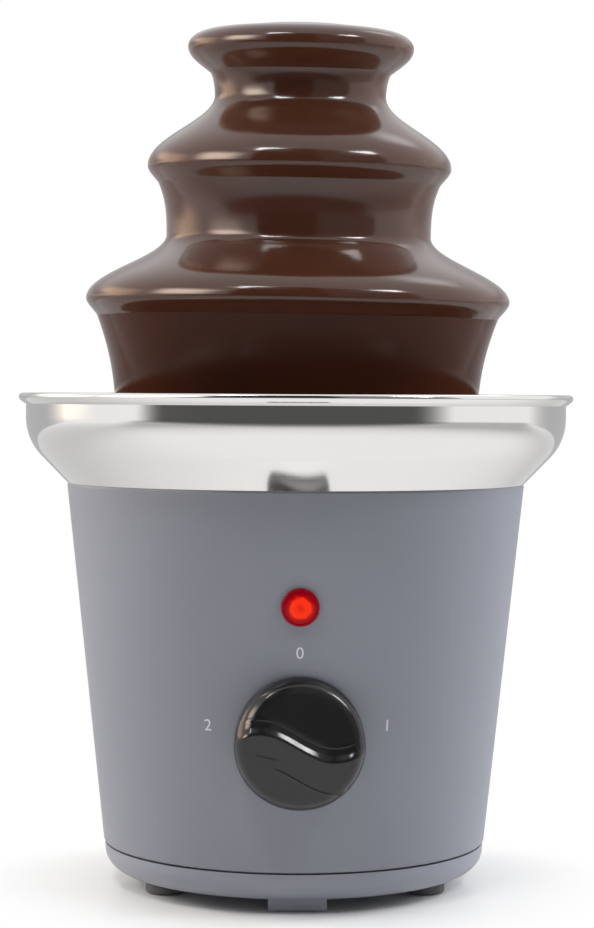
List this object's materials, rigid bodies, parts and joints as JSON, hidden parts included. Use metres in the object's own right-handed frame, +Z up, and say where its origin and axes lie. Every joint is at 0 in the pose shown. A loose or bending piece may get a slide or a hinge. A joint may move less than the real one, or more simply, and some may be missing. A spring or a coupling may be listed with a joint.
{
  "type": "chocolate fountain",
  "caption": "Table-top chocolate fountain: steel bowl on a tapered grey housing with a control knob and pilot lamp, lift-off tower with flowing chocolate.",
  "frame": {"origin": "centre of the base on the table", "axes": "+Z up, -Y towards the knob, +X to the right seen from the front"},
  "size_m": [0.2, 0.2, 0.3076],
  "materials": {
    "housing_plastic": "satin grey",
    "foot_rubber": "matt",
    "zinc_steel": "plain",
    "bowl_steel": "polished stainless",
    "seal_rubber": "matt",
    "plate_aluminium": "plain",
    "white_ceramic": "matt",
    "motor_steel": "satin",
    "black_plastic": "satin",
    "lens_red": "clear red, lit",
    "white_plastic": "smooth",
    "knob_black": "gloss",
    "shaft_steel": "ground",
    "chocolate": "wet gloss"
  },
  "bodies": {
    "base": {"housing": "housing_plastic", "bottom_cover": "housing_plastic", "feet": "foot_rubber", "cover_screws": "zinc_steel", "bowl": "bowl_steel", "bowl_seal": "seal_rubber", "heater_plate": "plate_aluminium", "heater_tube": "zinc_steel", "thermostat": "white_ceramic", "standoffs": "zinc_steel", "standoff_screws": "zinc_steel", "motor_bracket": "zinc_steel", "bracket_screws": "zinc_steel", "gearbox": "plate_aluminium", "gearbox_screws": "zinc_steel", "motor": "motor_steel", "rotary_switch": "black_plastic", "switch_nut": "zinc_steel", "lamp_lens": "lens_red", "lamp_holder": "white_plastic", "lamp_clip": "zinc_steel", "cord_gland": "black_plastic", "gland_nut": "black_plastic", "terminal_block": "white_plastic", "pool": "chocolate"},
    "control": {"knob": "knob_black", "switch_spindle": "zinc_steel"},
    "drive": {"drive_shaft": "shaft_steel", "shaft_collar": "zinc_steel"},
    "auger": {"auger_core": "white_plastic", "auger_flight": "white_plastic", "well": "chocolate"},
    "tower": {"tower_tube": "white_plastic", "crown": "white_plastic", "middle_tier": "white_plastic", "lower_tier": "white_plastic", "crown_flow": "chocolate", "middle_flow": "chocolate", "lower_flow": "chocolate"}
  },
  "joints": [
    {"name": "knob_turn", "type": "hinge", "parent": "base", "child": "control", "pos_m": [0, -0.07374, 0.0605], "axis": [0, 0.9944, 0.1056], "range_deg": [0, 180]},
    {"name": "drive_spin", "type": "hinge", "parent": "base", "child": "drive", "pos_m": [0, 0, 0.12], "axis": [0, 0, 1], "continuous": true},
    {"name": "auger_lift", "type": "slide", "parent": "drive", "child": "auger", "axis": [0, 0, 1], "range_m": [0, 0.175]},
    {"name": "tower_lift", "type": "slide", "parent": "base", "child": "tower", "axis": [0, 0, 1], "range_m": [0, 0.18]}
  ]
}
